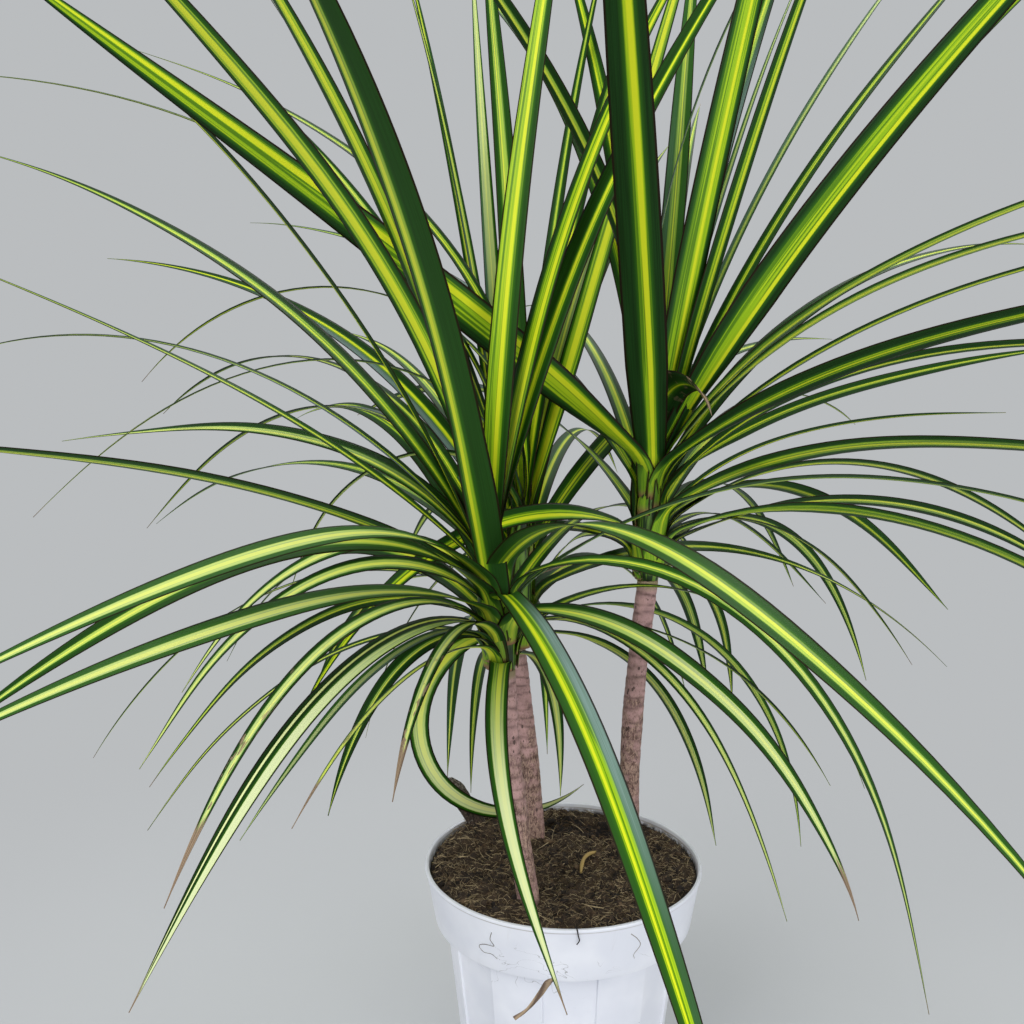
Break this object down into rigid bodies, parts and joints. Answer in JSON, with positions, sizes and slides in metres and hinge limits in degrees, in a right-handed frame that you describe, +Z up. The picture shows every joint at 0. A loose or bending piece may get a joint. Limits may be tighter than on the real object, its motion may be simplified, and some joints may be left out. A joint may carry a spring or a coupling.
{
  "type": "potted dracaena marginata",
  "caption": "Tapered fluted pot of peat with slim cane stems, each topped by a spray of long arching striped blade leaves.",
  "frame": {"origin": "centre of the pot's flat base, on the surface it stands on", "axes": "+Z up, -Y towards the side shown in the picture, +X to the right in the picture"},
  "size_m": [0.853, 0.8281, 0.8575],
  "materials": {
    "pot": "slightly glossy white plastic with dirt specks",
    "soil": "matt fibrous peat",
    "bark": "matt ringed bark",
    "dead_wood": "matt decayed wood",
    "leaf": "satin leaf, dark green with a lime centre band and dark red edge"
  },
  "bodies": {
    "root": {"pot": "pot", "soil": "soil", "stem_front_left": "bark", "stem_back_left": "bark", "stem_right": "bark", "dead_stump": "dead_wood", "leaves_front_left": "leaf", "leaves_back_left": "leaf", "leaves_right": "leaf"}
  },
  "joints": []
}
